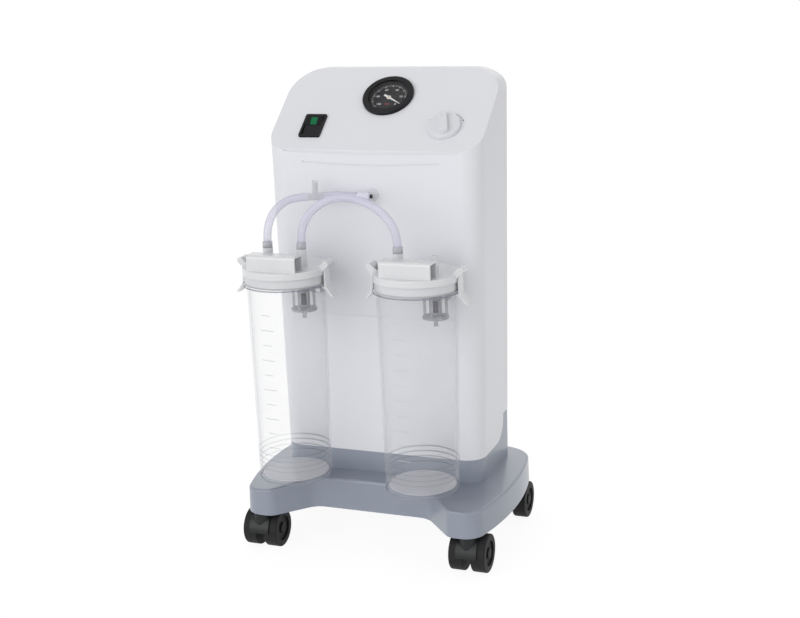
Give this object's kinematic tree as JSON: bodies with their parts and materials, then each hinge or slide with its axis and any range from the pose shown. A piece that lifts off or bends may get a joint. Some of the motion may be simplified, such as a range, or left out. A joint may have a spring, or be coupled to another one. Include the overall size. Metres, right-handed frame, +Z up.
{
  "type": "vacuum aspirator",
  "caption": "Mobile suction unit: white housing with a sloped control panel on a blue-grey tray with casters; clear jars with latched lids hang in front, joined by hoses.",
  "frame": {"origin": "on the floor below the middle of the outline", "axes": "+X to the right of someone facing the controls, front is -Y, +Z up"},
  "size_m": [0.412, 0.3422, 0.7226],
  "materials": {
    "base_shell": "satin blue-grey moulding",
    "housing_white": "fine satin white moulding",
    "lid_white": "glossy white moulding",
    "jar_clear": "clear plastic, slightly blue",
    "hose_clear": "soft clear tubing with a lavender tint",
    "fitting_clear": "translucent fitting",
    "black_plastic": "satin black moulding",
    "wheel_rubber": "dark tread",
    "knob_grey": "light grey moulding",
    "lens_green": "green lamp lens",
    "lens_clear": "flat clear lens",
    "dial_print": "black dial with white marks",
    "needle_white": "white paint",
    "brass_part": "plain brass",
    "port_metal": "plated metal",
    "steel_part": "bright steel",
    "latch_white": "white clip",
    "float_dark": "dark float",
    "seal_rubber": "soft seal",
    "pump_metal": "die-cast"
  },
  "bodies": {
    "unit": {"base_tray": "base_shell", "front_cover": "housing_white", "rear_cover": "housing_white", "lid_left": "lid_white", "lid_right": "lid_white", "jar_left": "jar_clear", "jar_right": "jar_clear", "hose_port_to_tee": "hose_clear", "hose_tee_to_left_jar": "hose_clear", "hose_between_jars": "hose_clear", "tee_fitting": "fitting_clear", "float_cage_left": "fitting_clear", "float_cage_right": "fitting_clear", "switch_frame": "black_plastic", "gauge_bezel": "black_plastic", "gauge_case": "black_plastic", "mains_inlet": "black_plastic", "fuse_caps": "black_plastic", "rubber_mounts": "wheel_rubber", "gauge_lens": "lens_clear", "gauge_dial": "dial_print", "gauge_movement": "brass_part", "regulator_valve": "brass_part", "regulator_nut": "brass_part", "vacuum_port": "port_metal", "vacuum_port_nut": "port_metal", "latch_pins": "steel_part", "bracket_screws": "steel_part", "cover_screws": "steel_part", "chassis_plate": "steel_part", "jar_bracket_left": "steel_part", "jar_bracket_right": "steel_part", "lid_seals": "seal_rubber", "pump_body": "pump_metal", "pump_heads": "pump_metal", "capacitor": "pump_metal"},
    "gauge_hand": {"gauge_needle": "needle_white"},
    "rocker": {"switch_rocker": "black_plastic", "switch_lens": "lens_green"},
    "knob": {"regulator_knob": "knob_grey", "regulator_spindle": "brass_part"},
    "rotor": {"pump_rotor": "pump_metal"},
    "clip_left_a": {"latch_left_a": "latch_white"},
    "clip_left_b": {"latch_left_b": "latch_white"},
    "clip_right_a": {"latch_right_a": "latch_white"},
    "clip_right_b": {"latch_right_b": "latch_white"},
    "bob_left": {"float_left": "float_dark"},
    "bob_right": {"float_right": "float_dark"},
    "fork_fl": {"caster_hood_fl": "black_plastic"},
    "wheels_fl": {"caster_wheels_fl": "wheel_rubber"},
    "fork_fr": {"caster_hood_fr": "black_plastic"},
    "wheels_fr": {"caster_wheels_fr": "wheel_rubber"},
    "fork_rl": {"caster_hood_rl": "black_plastic"},
    "wheels_rl": {"caster_wheels_rl": "wheel_rubber"},
    "fork_rr": {"caster_hood_rr": "black_plastic"},
    "wheels_rr": {"caster_wheels_rr": "wheel_rubber"}
  },
  "joints": [
    {"name": "swivel_fl", "type": "hinge", "parent": "unit", "child": "fork_fl", "pos_m": [-0.168, -0.102, 0.0615], "axis": [0, 0, 1], "continuous": true},
    {"name": "roll_fl", "type": "hinge", "parent": "fork_fl", "child": "wheels_fl", "pos_m": [-0.168, -0.086, 0.029], "axis": [1, 0, 0], "continuous": true},
    {"name": "swivel_fr", "type": "hinge", "parent": "unit", "child": "fork_fr", "pos_m": [0.168, -0.102, 0.0615], "axis": [0, 0, 1], "continuous": true},
    {"name": "roll_fr", "type": "hinge", "parent": "fork_fr", "child": "wheels_fr", "pos_m": [0.168, -0.086, 0.029], "axis": [1, 0, 0], "continuous": true},
    {"name": "swivel_rl", "type": "hinge", "parent": "unit", "child": "fork_rl", "pos_m": [-0.168, 0.117, 0.0615], "axis": [0, 0, 1], "continuous": true},
    {"name": "roll_rl", "type": "hinge", "parent": "fork_rl", "child": "wheels_rl", "pos_m": [-0.168, 0.133, 0.029], "axis": [1, 0, 0], "continuous": true},
    {"name": "swivel_rr", "type": "hinge", "parent": "unit", "child": "fork_rr", "pos_m": [0.168, 0.117, 0.0615], "axis": [0, 0, 1], "continuous": true},
    {"name": "roll_rr", "type": "hinge", "parent": "fork_rr", "child": "wheels_rr", "pos_m": [0.168, 0.133, 0.029], "axis": [1, 0, 0], "continuous": true},
    {"name": "switch_rock", "type": "hinge", "parent": "unit", "child": "rocker", "pos_m": [-0.1045, 0.02168, 0.63897], "axis": [-1, 0, 0], "range_deg": [0, 16]},
    {"name": "regulator_turn", "type": "hinge", "parent": "unit", "child": "knob", "pos_m": [0.105, 0.01935, 0.6435], "axis": [0, -0.6225, 0.7826], "range_deg": [-135, 135]},
    {"name": "gauge_swing", "type": "hinge", "parent": "unit", "child": "gauge_hand", "pos_m": [0, 0.07052, 0.68037], "axis": [0, -0.6225, 0.7826], "range_deg": [0, 245], "stiffness_Nm_per_rad": 0.0002},
    {"name": "latch_left_a_swing", "type": "hinge", "parent": "unit", "child": "clip_left_a", "pos_m": [-0.17, -0.108, 0.462], "axis": [0, 1, 0], "range_deg": [0, 95]},
    {"name": "latch_left_b_swing", "type": "hinge", "parent": "unit", "child": "clip_left_b", "pos_m": [-0.034, -0.108, 0.462], "axis": [0, -1, 0], "range_deg": [0, 28]},
    {"name": "float_left_rise", "type": "slide", "parent": "unit", "child": "bob_left", "axis": [0, 0, 1], "range_m": [0, 0.012]},
    {"name": "latch_right_a_swing", "type": "hinge", "parent": "unit", "child": "clip_right_a", "pos_m": [0.034, -0.108, 0.462], "axis": [0, 1, 0], "range_deg": [0, 28]},
    {"name": "latch_right_b_swing", "type": "hinge", "parent": "unit", "child": "clip_right_b", "pos_m": [0.17, -0.108, 0.462], "axis": [0, -1, 0], "range_deg": [0, 95]},
    {"name": "float_right_rise", "type": "slide", "parent": "unit", "child": "bob_right", "axis": [0, 0, 1], "range_m": [0, 0.012]},
    {"name": "rotor_spin", "type": "hinge", "parent": "unit", "child": "rotor", "pos_m": [0, 0.0585, 0.198], "axis": [1, 0, 0], "continuous": true}
  ]
}
